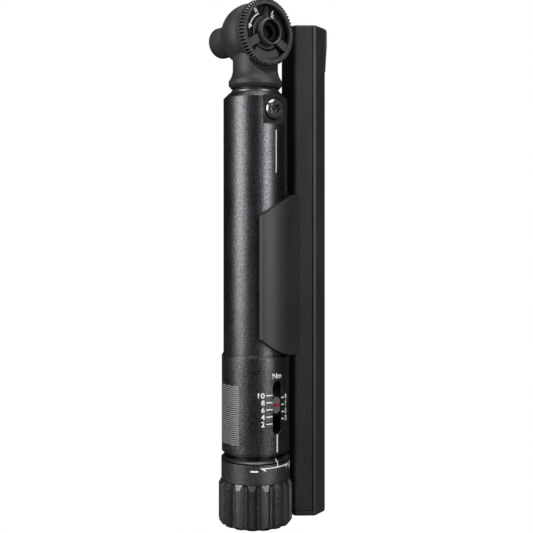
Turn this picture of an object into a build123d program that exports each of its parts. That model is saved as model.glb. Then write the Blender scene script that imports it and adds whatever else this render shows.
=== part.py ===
from build123d import *
import os
from math import cos, radians, sin, sqrt

# Ratcheting click-type torque wrench with a clip-on bit case, in millimetres.
# Z runs along the handle, from the knob's end face at z = 0 up to the ratchet head.
# The window of the scale faces -Y, the bit socket points to +Y, the bit case is on the +X side.

# ---- fits -----------------------------------------------------------------------------------
RUN = 0.05            # radial clearance of a running or sliding fit
SEAT = 0.02           # radial clearance of a seat that doesn't turn
AIR = 0.30            # free gap between pieces that pass each other
END_PLAY = 0.15       # axial play of a turning piece
PAST = 1.0            # how far a cutting shape reaches past the face that it cuts
FAR = 60.0            # reach of a cutting shape that has no face to stop at

# ---- handle tube and scale sleeve -----------------------------------------------------------
TUBE_R = 12.0
TUBE_WALL = 3.0
JOURNAL_WALL = 1.5    # wall of the tube's lower end, which the knob turns on
SPIGOT_WALL = 2.0     # wall of the tube under the sleeve
JOURNAL_DEPTH = 16.8  # how far the journal reaches into the knob
SLEEVE_PROUD = 0.63   # the sleeve stands this far out of the tube
SLEEVE_LEN = 37.6
SLEEVE_FOOT_CHAMFER = (1.2, 1.1)
SLEEVE_TOP_BREAK = 1.2
SLEEVE_LINE_DEPTH = 0.35
SLEEVE_LINE_HALF = 0.2
UPPER_TUBE_LEN = 96.8
TUBE_TOP_CHAMFER = (2.1, 2.1)
FLAT_DEPTH = 1.26     # milled flat under the pivot bolt
FLAT_LEN = 12.2
SLOT_W = 3.8
SLOT_LEN = 19.4
SLOT_FOOT = 8.7       # from the sleeve's lower end to the slot

# ---- knob -----------------------------------------------------------------------------------
COLLAR_PROUD = 0.17   # the knob's collar stands this far out of the sleeve
COLLAR_H = 8.8        # plain collar above the flutes
COLLAR_CHAMFER = (1.4, 1.2)
COLLAR_LINE_DEPTH = 0.4    # fine groove at the foot of the chamfer
COLLAR_LINE_HALF = 0.3
FLUTE_PROUD = 1.0     # the flute crests stand this far out of the collar
FLUTES = 16
FLUTE_DEPTH = 1.5
FLUTE_LAND = 6.4      # degrees of each crest's land
FLUTE_VALLEY = 5.6    # degrees of each groove's floor
KNOB_H = 16.6         # fluted length
KNOB_TOP_CHAMFER = (1.25, 2.2)
KNOB_FOOT_CHAMFER = (0.9, 1.2)
CAP_R = 6.5           # disc that closes the knob's end
CAP_H = 1.2
KNOB_SCREW_R = 2.0
KNOB_SCREW_HEAD_R = 4.2
KNOB_SCREW_LEN = 7.0
KNOB_SCREW_HEX = (2.5, 1.6)   # across flats, depth
KNOB_FLOOR = 7.0      # thickness of the knob's end wall
DRIVE_HEX = 7.0       # across flats of the screw's foot, in the knob's floor
DRIVE_HEX_H = 3.0
NOTCH = 0.4           # gap between the knob and the sleeve

# ---- torque spring and its screw ------------------------------------------------------------
SCREW_R = 3.5         # threaded length
SCREW_SHANK_R = 3.0
SCREW_COLLAR_R = 5.0
SCREW_COLLAR_H = 2.0
SCREW_TOP_GAP = 8.0   # the screw's end above the carriage at the rest setting
BEARING_FOOT = 1.0    # from the tube's lower end to the end bearing
BEARING_H = 7.4
WASHER_H = 1.0
CLIP_RING_H = 0.8
CLIP_RING_R = 4.6
CLIP_RING_GAP = 1.6   # half width of the circlip's mouth
CLIP_RING_GROOVE = 0.5
SETTING_Z = 19.2      # indicator's middle above the sleeve's lower end, at rest
CARRIAGE_H = 9.0
INDICATOR_LEN = 6.0
INDICATOR_W = 3.5
INDICATOR_DEEP = 0.53     # indicator's face below the sleeve's surface
INDICATOR_FOOT = 4.0      # from the carriage's outside to the floor of the indicator's pocket
SPRING_PLAY = 0.8     # between the main spring and the bore
SPRING_WIRE_R = 1.15
SPRING_TURNS = 13
PLUNGER_H = 9.0
BLOCK_H = 4.5
BLOCK_W = 7.0
BLOCK_BREAK = 0.8
DETENT_BALL_R = 1.0
DETENT_DEPTH = 0.25
DETENT_GROOVE_HALF = 2.5  # half length of each click groove in the knob's bore
DETENT_POCKET = 5.5       # depth of the ball's pocket, from the journal's surface
DETENT_SPRING = (0.7, 0.15, 5)    # coil radius, wire radius, turns

# ---- head: lever, pivot and housing ---------------------------------------------------------
PIVOT_BELOW_TOP = 6.7
PIVOT_R = 2.5
PIVOT_SHORT = 1.2     # the bolt's end below the tube's surface
BUSH_R = 3.5
BOLT_HEAD_R = 4.0
BOLT_HEAD_H = 2.3
BOLT_DOME = (1.15, 0.35)  # flat's edge and shoulder of the domed head, in from its rim
BOLT_RIM_H = 0.3
BOLT_STAR = (1.35, 0.55, 1.45, 0.5, 1.9)  # lobe circle, lobe, core, centre pin, depth
BOLT_SEAT_R = 4.4
BOLT_SEAT_DEPTH = 0.5
LEVER_LEN = 21.5      # from the pivot to the lever's tip
LEVER_W = 9.0
LEVER_TIP_W = 6.0
SHANK_PLAY = 1.2      # room for the shank to swing in the tube
SHANK_FLAT = 1.0
SHANK_LOW = 5.5       # below the pivot
SEAL_PROUD = 0.2      # the seal stands this far outside the tube's bore
SEAL_WALL = 0.85
SEAL_H = 1.2
SEAL_LIP = 1.6
SEAL_ROUND = 0.75
FLANGE_GAP = 0.7
FLANGE_PROUD = 2.25   # the flange stands this far out of the shank
FLANGE_H = 2.7
FLANGE_CHAMFER = (0.85, 1.1)
NECK_IN = 1.55        # the neck is this far inside the flange
NECK_FLARE = 4.4
NECK_BOW = (0.32, 0.42)   # where the flare's arc passes, as shares of its width and height
DRIVE_ABOVE_PIVOT = 28.9
HEAD_WALL = 2.2       # from the pawl's pocket to the outside of the ball
HEAD_OFFSET = 1.6     # the ball of the head is this far behind the handle's axis
HEAD_FRONT = -3.7
HEAD_RIM_IN = 0.6     # front rim, in from the ball's radius
HEAD_RIM_H = 1.3      # the rim stands this far in front of the plate's seat
RELIEF_ROOM = 0.45    # cone around the direction wheel
RELIEF_SLOPE = 0.8
RELIEF_REACH = 14.0

# ---- ratchet --------------------------------------------------------------------------------
GEAR_R = 6.4
GEAR_TEETH = 36
GEAR_TOOTH = 0.55
GEAR_LAND = 1.6       # degrees of each tooth's land and of each gap's floor
GEAR_W = 4.8
GEAR_WALL = 2.4       # from the tips of the teeth in to the gear's bore
DRIVE_IN = 1.2        # socket's journal in the head, in from the gear's tips
SOCKET_STEP = 0.8     # the socket's outside, out from its journal
SOCKET_END = 22.3
SOCKET_ROUND = 1.5
HEX_AF = 6.35         # quarter-inch bit
HEX_PLAY = 0.10
HEX_DEPTH = 12.5
MAGNET_R = 3.0
MAGNET_H = 2.8
PAWL_GAP = 0.45       # from the gear's tips to the pawl at rest
PAWL_THICK = 2.15
PAWL_SPAN = 34.0      # half angle
PAWL_TOOTH = 0.38
PAWL_TOOTH_HALF = 0.4
PAWL_TOOTH_AT = 30.0
PAWL_PIN_IN = 1.0     # the pin's axis, in from the pawl's outside
PAWL_PIN_R = 0.7
PAWL_PIN_LEN = 2.0    # in the housing
PAWL_ROOM = 0.8       # behind the pawl
PAWL_POCKET_SPAN = 43.0
PAWL_BALL_R = 0.9
PAWL_BALL_Y = -0.4
PAWL_HOLE = 6.0       # depth of the ball's hole below the pawl's pocket
PAWL_SPRING = (0.62, 0.14, 6)     # coil radius, wire radius, turns
WHEEL_TURN = 18.0     # degrees of the direction wheel to each side
TAB_REACH = 0.7       # the wheel's tab, to both sides of the pawl's outside
TAB_HALF = 0.75
TAB_BACK = -2.2

# ---- direction wheel and its plate ----------------------------------------------------------
WHEEL_PROUD = 0.5     # the wheel stands this far out of the ball of the head
WHEEL_KNURL_FRONT = -7.2
WHEEL_FRONT = -7.75
WHEEL_BEVEL_IN = 0.3
WHEEL_BEVEL_FRONT = -7.55
WHEEL_FRONT_IN = 0.5
WHEEL_RIM = 2.2       # radial width of the rim
KNURLS = 60
KNURL_DEPTH = 1.1
KNURL_LAND = 2.2      # degrees
KNURL_VALLEY = 1.4
SPOKE_W = 2.9
SPOKE_BACK = -5.9
SPOKE_FRONT = -7.55
SPOKE_ROOT = 0.5      # how far a spoke runs into the hub
SPOKE_TIP = 0.2       # how far a spoke runs into the rim
SPOKE_AT = 120
POINTER_W = 3.4
POINTER_RISE = 1.75
POINTER_TIP = (0.35, 1.1)     # half width, rise
PAD_W = 3.2           # radial width of the pad beside the rim
PAD_FRONT = -6.65
PAD_HALF = 38.0
HUB_R = 4.9
HUB_WALL = 0.7
HUB_BREAK = 0.15
HUB_FRONT = -9.6
HUB_FLANGE = 1.3
HUB_FLANGE_FRONT = -6.2
HUB_FLANGE_GAP = 0.2
PLATE_FRONT = -5.5
PLATE_HUB_FLOOR = -4.6
PLATE_BORE_ROOM = 0.4
PLATE_SWING = 9.0     # degrees of room past the wheel's turn for its tab
PEG_R = 0.8
PEG_IN = 1.0          # pegs' circle, in from the plate's edge
PEG_AT = 50           # degrees
PEG_LEN = 1.6
WHEEL_SCREW_PLAY = 0.2    # head in the hub
WHEEL_SCREW_TOP = -7.4
WHEEL_SCREW_BREAK = 0.3
WHEEL_SCREW_SHOULDER_R = 3.0
SHOULDER_PLAY = 0.1
WHEEL_SCREW_THREAD_R = 2.0
WHEEL_SCREW_THREAD_LEN = 5.5
WHEEL_SCREW_HEX = 4.5
WHEEL_SCREW_HEX_DEPTH = 2.4

# ---- bits and their case --------------------------------------------------------------------
BIT_LEN = 25.0
BIT_GAP = 0.9         # between one bit and the next
BIT_SHANK = 15.0
BIT_PLAY = 0.12
BIT_FOOT = 4.2
BIT_TURN = 30
BIT_BREAK = (0.35, 0.5)   # foot corners
BIT_SHOULDER = (2.4, 1.4)
BIT_SIZES = {"2": 2.0, "2_5": 2.5, "3": 3.0, "4": 4.0, "5": 5.0, "6": 6.0}
STAR_BIT_R = 2.2
STAR_CORE = 0.72      # core, lobe circle and lobe as shares of the star's radius
STAR_LOBE_AT = 0.7
STAR_LOBE = 0.3
CLIP_WALL = 2.7
CLIP_CLEAR = 0.1
CLIP_HALF_ARC = 116.5
CLIP_FREE = (70.1, 113.9)     # z of the free edges
CLIP_ROOT = (62.7, 122.3)     # z at the case
CLIP_ROOT_NEAR = 0.5  # where the root leaves the arms, inside the tube's radius
CLIP_ROOT_DEEP = 2.1  # how far the root runs into the case
CLIP_LOW_BOW = (-0.55, 5.6)   # where the lower edge's arc passes, from the middle of its ends
CLIP_TOP_BOW = (0.45, 5.3)
CLIP_EDGE_CHAMFER = 0.9
CASE_TURN = -6.5      # degrees from +X towards -Y
CASE_HEAD_ROOM = 1.8  # above the last bit
CASE_IN_HALF = 4.5    # half widths of the six-sided section
CASE_MID_HALF = 8.75
CASE_OUT_HALF = 5.8
CASE_MID_DEEP = 6.9   # the widest line and the outer face, from the inner face
CASE_DEEP = 13.9
CASE_CORNER = 1.6
CASE_END_ROUND = 0.9
CASE_WALL = 1.3
SEAM_DEEP = 5.8
SEAM_GAP = 0.3
COVER_FOOT = 1.9
LIP_RISE = 0.75
LIP_LEN = 6.3
LIP_TAPER = 10.3
LIP_BELOW_TOP = 0.4
LIP_BREAK = (0.5, 1.0)
LIP_SIDE = 0.2
HINGE_DEEP = 1.15     # hinge's axis, from the inner face
HINGE_Z = 0.97
HINGE_PIN_R = 0.5
HINGE_PIN_HALF = 4.3
HINGE_PIN_END = 0.1
HINGE_KNUCKLE_R = 0.95    # knuckle of the case body, between the cover's two ends
HINGE_KNUCKLE_HALF = 1.8
HINGE_END_R = 1.1         # rounded inner end of the cover's foot
HINGE_GAP = 0.15
TRAY_DEEP = 6.6

# ---- radii and distances worked out from the sizes above ------------------------------------
TUBE_BORE_R = TUBE_R - TUBE_WALL
JOURNAL_R = TUBE_BORE_R + JOURNAL_WALL
SPIGOT_R = TUBE_BORE_R + SPIGOT_WALL
SLEEVE_R = TUBE_R + SLEEVE_PROUD
COLLAR_R = SLEEVE_R + COLLAR_PROUD
KNOB_R = COLLAR_R + FLUTE_PROUD
KNOB_BORE_R = JOURNAL_R + RUN
FLAT_Y = TUBE_R - FLAT_DEPTH
SPRING_R = TUBE_BORE_R - SPRING_PLAY
SLIDE_R = TUBE_BORE_R - 2 * RUN
INDICATOR_FACE = SLEEVE_R - INDICATOR_DEEP
INDICATOR_FLOOR = TUBE_BORE_R - INDICATOR_FOOT
SHANK_R = TUBE_BORE_R - SHANK_PLAY
SEAL_R = TUBE_BORE_R + SEAL_PROUD
SEAL_BORE_R = SEAL_R - SEAL_WALL
FLANGE_R = SHANK_R + FLANGE_PROUD
NECK_R = FLANGE_R - NECK_IN
GEAR_BORE_R = GEAR_R - GEAR_WALL
DRIVE_R = GEAR_R - DRIVE_IN
SOCKET_R = DRIVE_R + SOCKET_STEP
PAWL_INNER_R = GEAR_R + PAWL_GAP
PAWL_OUTER_R = PAWL_INNER_R + PAWL_THICK
PAWL_PIVOT_R = PAWL_OUTER_R - PAWL_PIN_IN
PAWL_POCKET_R = PAWL_OUTER_R + PAWL_ROOM
TAB_R = (PAWL_OUTER_R - TAB_REACH, PAWL_OUTER_R + TAB_REACH)
HEAD_R = PAWL_POCKET_R + HEAD_WALL
HEAD_RIM_R = HEAD_R - HEAD_RIM_IN
WHEEL_R = HEAD_R + WHEEL_PROUD
WHEEL_INNER_R = WHEEL_R - WHEEL_RIM
RELIEF_R = WHEEL_R + RELIEF_ROOM
PLATE_R = WHEEL_INNER_R - AIR
RIM_FRONT = HEAD_FRONT - HEAD_RIM_H
WHEEL_BACK = RIM_FRONT - AIR
HUB_BORE_R = HUB_R - HUB_WALL
HUB_LIP_R = WHEEL_SCREW_SHOULDER_R + SHOULDER_PLAY
PLATE_BORE_R = WHEEL_SCREW_SHOULDER_R + PLATE_BORE_ROOM
COLLAR_FACE = HEAD_OFFSET + sqrt(HEAD_R ** 2 - SOCKET_R ** 2)
POCKET_FLOOR = HEAD_FRONT + END_PLAY + GEAR_W + END_PLAY
CLIP_BORE_R = TUBE_R + CLIP_CLEAR
CLIP_R = CLIP_BORE_R + CLIP_WALL
CASE_IN = (CLIP_R, CASE_IN_HALF)      # distance from the handle's axis, half width
CASE_MID = (CLIP_R + CASE_MID_DEEP, CASE_MID_HALF)
CASE_OUT = (CLIP_R + CASE_DEEP, CASE_OUT_HALF)
SEAM_AT = CLIP_R + SEAM_DEEP
HINGE_AT = CLIP_R + HINGE_DEEP
TRAY_FRONT = CLIP_R + TRAY_DEEP
BIT_AT = CASE_MID[0]

# ---- heights worked out from the lengths above ----------------------------------------------
COLLAR_TOP = KNOB_H + COLLAR_H
SLEEVE_LOW = COLLAR_TOP + NOTCH
SLEEVE_TOP = SLEEVE_LOW + SLEEVE_LEN
TUBE_TOP = SLEEVE_TOP + UPPER_TUBE_LEN
TUBE_LOW = COLLAR_TOP - JOURNAL_DEPTH
PIVOT_Z = TUBE_TOP - PIVOT_BELOW_TOP
NECK_LOW = TUBE_TOP + SEAL_H + FLANGE_GAP
HEAD_Z = PIVOT_Z + DRIVE_ABOVE_PIVOT
SLOT_LOW = SLEEVE_LOW + SLOT_FOOT
SLOT_HIGH = SLOT_LOW + SLOT_LEN
BEARING_LOW = TUBE_LOW + BEARING_FOOT
BEARING_TOP = BEARING_LOW + BEARING_H
BALL_Z = BEARING_LOW + BEARING_H / 2
SETTING = SLEEVE_LOW + SETTING_Z
CARRIAGE_LOW = SETTING - CARRIAGE_H / 2
CARRIAGE_TOP = SETTING + CARRIAGE_H / 2
LEVER_TIP = PIVOT_Z - LEVER_LEN
BLOCK_LOW = LEVER_TIP - END_PLAY - BLOCK_H
PLUNGER_LOW = BLOCK_LOW - PLUNGER_H
PAWL_HOLE_LOW = HEAD_Z - PAWL_POCKET_R - PAWL_HOLE
BIT_PITCH = BIT_LEN + BIT_GAP
CASE_H = BIT_FOOT + (len(BIT_SIZES) + 1) * BIT_PITCH + CASE_HEAD_ROOM
CASE_FLOOR = COVER_FOOT + SEAM_GAP


# ---- shape helpers --------------------------------------------------------------------------
def rod(radius, low, high):
    """Cylinder on Z between two heights."""
    return Pos(0, 0, low) * extrude(Circle(radius), high - low)


def ring(outer, inner, low, high):
    """Tube on Z between two heights."""
    return Pos(0, 0, low) * extrude(Circle(outer) - Circle(inner), high - low)


def block(x, y, z):
    """Box from its (low, high) limits on each axis."""
    corner = (x[0], y[0], z[0])
    size = (x[1] - x[0], y[1] - y[0], z[1] - z[0])
    return Pos(*corner) * Box(*size, align=(Align.MIN, Align.MIN, Align.MIN))


def turned(*points):
    """Solid of revolution about Z from (radius, height) corners."""
    outline = make_face(Polyline(*points, close=True))
    return revolve(Plane.XZ * outline, Axis.Z)


def slab(outline, half):
    """Plate as thick as twice the half width, from an outline of x and height."""
    return Pos(0, half, 0) * extrude(Plane.XZ * outline, 2 * half)


def polar(radius, degrees):
    """Point at a radius and an angle from +X."""
    return (radius * cos(radians(degrees)), radius * sin(radians(degrees)))


def hexagon(flats, low, high):
    """Hexagonal prism on Z, by its size across flats."""
    return Pos(0, 0, low) * extrude(RegularPolygon(flats / 2, 6, major_radius=False), high - low)


def sector(inner, outer, middle, half, low, high):
    """Part of a ring on Z, about a middle direction in degrees."""
    start = middle - half
    points = [polar(inner, start), polar(inner, middle), polar(inner, middle + half)]
    points += [polar(outer, middle + half), polar(outer, middle), polar(outer, start)]
    outline = [
        ThreePointArc(*points[:3]),
        Line(points[2], points[3]),
        ThreePointArc(*points[3:]),
        Line(points[5], points[0]),
    ]
    return Pos(0, 0, low) * extrude(make_face(outline), high - low)


def coil(radius, wire, low, high, turns):
    """Round-wire spring on Z that just reaches both heights."""
    rise = high - low - 2 * wire
    path = Helix(pitch=rise / turns, height=rise, radius=radius)
    section = Plane(origin=path @ 0, z_dir=path % 0) * Circle(wire)
    return Pos(0, 0, low + wire) * sweep(section, path=path, is_frenet=True)


def wave(outer, inner, count, land, valley):
    """Toothed outline with lands and valleys given in degrees, a land on the -Y direction."""
    points = []
    for index in range(count):
        middle = index * 360 / count - 90
        half = 180 / count
        points.append(polar(outer, middle - land / 2))
        points.append(polar(outer, middle + land / 2))
        points.append(polar(inner, middle + half - valley / 2))
        points.append(polar(inner, middle + half + valley / 2))
    return make_face(Polyline(*points, close=True))


def on_drive(shape):
    """Lay a shape made on Z along the ratchet's axis, its z turned to the part's y."""
    return Pos(0, 0, HEAD_Z) * Rot(-90, 0, 0) * shape


def on_pivot(shape):
    """Lay a shape made on Z along the pivot bolt, its z turned to the part's y."""
    return Pos(0, 0, PIVOT_Z) * Rot(-90, 0, 0) * shape


DOWN = 90             # direction of the part's -Z in the frame that on_drive takes
UP = -90


# ---- knob and adjusting screw ---------------------------------------------------------------
def knob_parts():
    """Fluted knob, its screw, and the click balls that hold its setting."""
    top_in, top_down = KNOB_TOP_CHAMFER
    foot_in, foot_up = KNOB_FOOT_CHAMFER
    collar_in, collar_down = COLLAR_CHAMFER
    fluted = extrude(wave(KNOB_R, KNOB_R - FLUTE_DEPTH, FLUTES, FLUTE_LAND, FLUTE_VALLEY), KNOB_H)
    limits = turned(
        (0, 0),
        (KNOB_R - foot_in, 0),
        (KNOB_R, foot_up),
        (KNOB_R, KNOB_H - top_down),
        (KNOB_R - top_in, KNOB_H),
        (0, KNOB_H),
    )
    line_top = COLLAR_TOP - collar_down
    collar = turned(
        (0, KNOB_H - top_down),
        (COLLAR_R - top_in, KNOB_H - top_down),
        (COLLAR_R, KNOB_H),
        (COLLAR_R, line_top - 2 * COLLAR_LINE_HALF),
        (COLLAR_R - COLLAR_LINE_DEPTH, line_top - COLLAR_LINE_HALF),
        (COLLAR_R, line_top),
        (COLLAR_R - collar_in, COLLAR_TOP),
        (0, COLLAR_TOP),
    )
    knob = (fluted & limits) + collar
    knob -= rod(KNOB_BORE_R, KNOB_FLOOR, COLLAR_TOP)
    hex_low = KNOB_FLOOR - DRIVE_HEX_H
    head_low = CAP_H + SEAT
    head_top = head_low + KNOB_SCREW_HEAD_R - KNOB_SCREW_R
    knob -= hexagon(DRIVE_HEX + 2 * SEAT, hex_low, KNOB_FLOOR)
    knob -= rod(CAP_R + SEAT, 0, CAP_H)
    head_wide = KNOB_SCREW_HEAD_R + SEAT
    shank_wide = KNOB_SCREW_R + SEAT
    knob -= turned(
        (0, 0),
        (head_wide, 0),
        (head_wide, head_low),
        (shank_wide, head_top),
        (shank_wide, hex_low),
        (0, hex_low),
    )
    for index in range(FLUTES):
        x, y = polar(KNOB_BORE_R + DETENT_DEPTH - DETENT_BALL_R, index * 360 / FLUTES)
        groove = rod(DETENT_BALL_R, BALL_Z - DETENT_GROOVE_HALF, BALL_Z + DETENT_GROOVE_HALF)
        knob -= Pos(x, y, 0) * groove
    screw = hexagon(DRIVE_HEX, hex_low, KNOB_FLOOR)
    screw += rod(SCREW_SHANK_R, KNOB_FLOOR, BEARING_TOP + WASHER_H)
    collar_low = BEARING_TOP + WASHER_H + RUN
    screw += rod(SCREW_SHANK_R, BEARING_TOP, collar_low)
    screw += rod(SCREW_COLLAR_R, collar_low, collar_low + SCREW_COLLAR_H)
    screw += rod(SCREW_R, collar_low, CARRIAGE_TOP + SCREW_TOP_GAP)
    clip_top = BEARING_LOW - END_PLAY
    groove_r = SCREW_SHANK_R - CLIP_RING_GROOVE
    screw -= ring(SCREW_SHANK_R + PAST, groove_r, clip_top - CLIP_RING_H, clip_top)
    screw_end = head_low + KNOB_SCREW_LEN
    screw -= rod(KNOB_SCREW_R + SEAT, hex_low, screw_end + PAST)
    circlip = ring(CLIP_RING_R, groove_r + SEAT, clip_top - CLIP_RING_H + SEAT, clip_top - SEAT)
    circlip -= block((-CLIP_RING_GAP, CLIP_RING_GAP), (-CLIP_RING_R, 0), (0, BEARING_LOW))
    washer = ring(SCREW_COLLAR_R, SCREW_SHANK_R + RUN, BEARING_TOP, BEARING_TOP + WASHER_H)
    knob_screw = turned(
        (0, head_low),
        (KNOB_SCREW_HEAD_R, head_low),
        (KNOB_SCREW_R, head_top),
        (KNOB_SCREW_R, screw_end),
        (0, screw_end),
    )
    key_flats, key_deep = KNOB_SCREW_HEX
    knob_screw -= hexagon(key_flats, head_low, head_low + key_deep)
    cap = rod(CAP_R, 0, CAP_H)
    balls = []
    springs = []
    ball_x = KNOB_BORE_R - DETENT_BALL_R - RUN
    spring_r, wire_r, turns = DETENT_SPRING
    spring = coil(spring_r, wire_r, JOURNAL_R - DETENT_POCKET + SEAT, ball_x - DETENT_BALL_R - SEAT, turns)
    for side in (0, 180):
        turn = Rot(0, 0, side)
        balls.append(turn * Pos(ball_x, 0, BALL_Z) * Sphere(DETENT_BALL_R))
        springs.append(turn * Pos(0, 0, BALL_Z) * Rot(0, 90, 0) * spring)
    return {
        "knob": knob,
        "knob_cap": cap,
        "adjusting_screw": screw,
        "screw_circlip": circlip,
        "thrust_washer": washer,
        "knob_screw": knob_screw,
        "knob_detent_balls": balls[0] + balls[1],
        "knob_detent_springs": springs[0] + springs[1],
    }


# ---- handle ---------------------------------------------------------------------------------
def slot_cut(width, depth):
    """Window slot through one wall on the -Y side, down to a distance from the axis."""
    straight = SLOT_LEN - width
    outline = SlotCenterToCenter(straight, width, rotation=90)
    middle = (SLOT_LOW + SLOT_HIGH) / 2
    return Pos(0, -depth, middle) * Rot(90, 0, 0) * extrude(outline, SLEEVE_R + PAST - depth)


def handle_parts():
    """Handle tube, scale sleeve, end bearing and the ring under the head."""
    top_in, top_down = TUBE_TOP_CHAMFER
    tube = turned(
        (TUBE_BORE_R, TUBE_LOW),
        (JOURNAL_R, TUBE_LOW),
        (JOURNAL_R, SLEEVE_LOW),
        (SPIGOT_R, SLEEVE_LOW),
        (SPIGOT_R, SLEEVE_TOP),
        (TUBE_R, SLEEVE_TOP),
        (TUBE_R, TUBE_TOP - top_down),
        (TUBE_R - top_in, TUBE_TOP),
        (TUBE_BORE_R, TUBE_TOP),
    )
    tube -= block((-TUBE_R, TUBE_R), (-FAR, -FLAT_Y), (TUBE_TOP - FLAT_LEN, TUBE_TOP + PAST))
    tube -= on_pivot(rod(BOLT_SEAT_R, -TUBE_R, BOLT_SEAT_DEPTH - FLAT_Y))
    tube -= on_pivot(rod(PIVOT_R + SEAT, -TUBE_R, TUBE_R + PAST))
    tube -= slot_cut(SLOT_W, TUBE_BORE_R - PAST)
    tube -= Pos(0, 0, BALL_Z) * Rot(0, 90, 0) * rod(DETENT_BALL_R + RUN, -TUBE_R, TUBE_R)
    foot_in, foot_up = SLEEVE_FOOT_CHAMFER
    line_z = SLEEVE_LOW + foot_up
    sleeve = turned(
        (SPIGOT_R + SEAT, SLEEVE_LOW),
        (SLEEVE_R - foot_in, SLEEVE_LOW),
        (SLEEVE_R, line_z),
        (SLEEVE_R - SLEEVE_LINE_DEPTH, line_z + SLEEVE_LINE_HALF),
        (SLEEVE_R, line_z + 2 * SLEEVE_LINE_HALF),
        (SLEEVE_R, SLEEVE_TOP - SLEEVE_TOP_BREAK),
        (TUBE_R, SLEEVE_TOP),
        (SPIGOT_R + SEAT, SLEEVE_TOP),
    )
    sleeve -= slot_cut(SLOT_W, TUBE_BORE_R - PAST)
    bearing = ring(TUBE_BORE_R - SEAT, SCREW_SHANK_R + RUN, BEARING_LOW, BEARING_TOP)
    pocket = Pos(0, 0, BALL_Z) * Rot(0, 90, 0) * rod(DETENT_BALL_R + RUN, JOURNAL_R - DETENT_POCKET, TUBE_R)
    bearing -= pocket
    bearing -= Rot(0, 0, 180) * pocket
    seal = turned(
        (SEAL_BORE_R, TUBE_TOP - SEAL_LIP),
        (TUBE_BORE_R - SEAT, TUBE_TOP - SEAL_LIP),
        (TUBE_BORE_R - SEAT, TUBE_TOP),
        (SEAL_R, TUBE_TOP),
        (SEAL_R, TUBE_TOP + SEAL_H),
        (SEAL_BORE_R, TUBE_TOP + SEAL_H),
    )
    seal = fillet(seal.faces().sort_by(Axis.Z)[-1].edges().sort_by(SortBy.RADIUS)[-1], SEAL_ROUND)
    return {"handle_tube": tube, "scale_sleeve": sleeve, "end_bearing": bearing, "neck_seal": seal}


def pivot_parts():
    """Bolt with a domed head that the lever turns on."""
    top = -FLAT_Y + BOLT_SEAT_DEPTH - BOLT_HEAD_H
    seat = BOLT_SEAT_DEPTH - FLAT_Y
    flat_in, shoulder_in = BOLT_DOME
    flat_edge = (BOLT_HEAD_R - flat_in, top)
    shoulder = (BOLT_HEAD_R - shoulder_in, top + (seat - top) / 3)
    rim = (BOLT_HEAD_R, seat - BOLT_RIM_H)
    side = make_face([
        Line((0, top), flat_edge),
        ThreePointArc(flat_edge, shoulder, rim),
        Line(rim, (BOLT_HEAD_R, seat)),
        Line((BOLT_HEAD_R, seat), (0, seat)),
        Line((0, seat), (0, top)),
    ])
    bolt = revolve(Plane.XZ * side, Axis.Z)
    bolt += rod(PIVOT_R, seat, TUBE_R - PIVOT_SHORT)
    lobe_at, lobe_r, core_r, pin_r, deep = BOLT_STAR
    star = Circle(core_r)
    for index in range(6):
        star += Pos(*polar(lobe_at, index * 60)) * Circle(lobe_r)
    star -= Circle(pin_r)
    bolt -= Pos(0, 0, top) * extrude(star, deep)
    return {"pivot_bolt": on_pivot(bolt)}


# ---- torque spring --------------------------------------------------------------------------
def spring_parts():
    """Carriage with its indicator, main spring, plunger and click block."""
    carriage = ring(SLIDE_R, SCREW_R + RUN, CARRIAGE_LOW, CARRIAGE_TOP)
    pocket_low = SETTING - INDICATOR_LEN / 2
    pocket_high = SETTING + INDICATOR_LEN / 2
    half = INDICATOR_W / 2
    carriage -= block((-half, half), (-TUBE_BORE_R, -INDICATOR_FLOOR), (pocket_low, pocket_high))
    straight = INDICATOR_LEN - INDICATOR_W
    pill = SlotCenterToCenter(straight, INDICATOR_W, rotation=90)
    foot_y = INDICATOR_FLOOR + SEAT
    indicator = Pos(0, -foot_y, SETTING) * Rot(90, 0, 0) * extrude(pill, INDICATOR_FACE - foot_y)
    wire_at = SPRING_R - SPRING_WIRE_R
    main_spring = coil(wire_at, SPRING_WIRE_R, CARRIAGE_TOP, PLUNGER_LOW, SPRING_TURNS)
    plunger = rod(SLIDE_R, PLUNGER_LOW, BLOCK_LOW)
    plunger -= rod(SCREW_COLLAR_R, PLUNGER_LOW, PLUNGER_LOW + PLUNGER_H / 2)
    half = BLOCK_W / 2
    click = block((-half, half), (-half, half), (BLOCK_LOW, BLOCK_LOW + BLOCK_H))
    click = chamfer(click.edges().filter_by(Axis.Y), BLOCK_BREAK)
    return {
        "spring_carriage": carriage,
        "torque_indicator": indicator,
        "main_spring": main_spring,
        "plunger": plunger,
        "click_block": click,
    }


# ---- head -----------------------------------------------------------------------------------
def peg_places():
    """Places of the two pegs that hold the direction plate, in the frame that on_drive takes."""
    return [polar(PLATE_R - PEG_IN, UP + side) for side in (-PEG_AT, PEG_AT)]


def neck_solid():
    """Flange, waisted neck and shank, turned about the handle's axis."""
    step_in, step_up = FLANGE_CHAMFER
    flare_low = NECK_LOW + FLANGE_H
    flare_high = flare_low + NECK_FLARE
    top = HEAD_Z - HEAD_R / 2
    bow_out, bow_up = NECK_BOW
    waist = (NECK_R + bow_out * (FLANGE_R - NECK_R), flare_low + bow_up * NECK_FLARE)
    outline = make_face([
        Line((0, NECK_LOW), (FLANGE_R - step_in, NECK_LOW)),
        Line((FLANGE_R - step_in, NECK_LOW), (FLANGE_R, NECK_LOW + step_up)),
        Line((FLANGE_R, NECK_LOW + step_up), (FLANGE_R, flare_low)),
        ThreePointArc((FLANGE_R, flare_low), waist, (NECK_R, flare_high)),
        Line((NECK_R, flare_high), (NECK_R, top)),
        Line((NECK_R, top), (0, top)),
        Line((0, top), (0, NECK_LOW)),
    ])
    return revolve(Plane.XZ * outline, Axis.Z)


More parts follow.
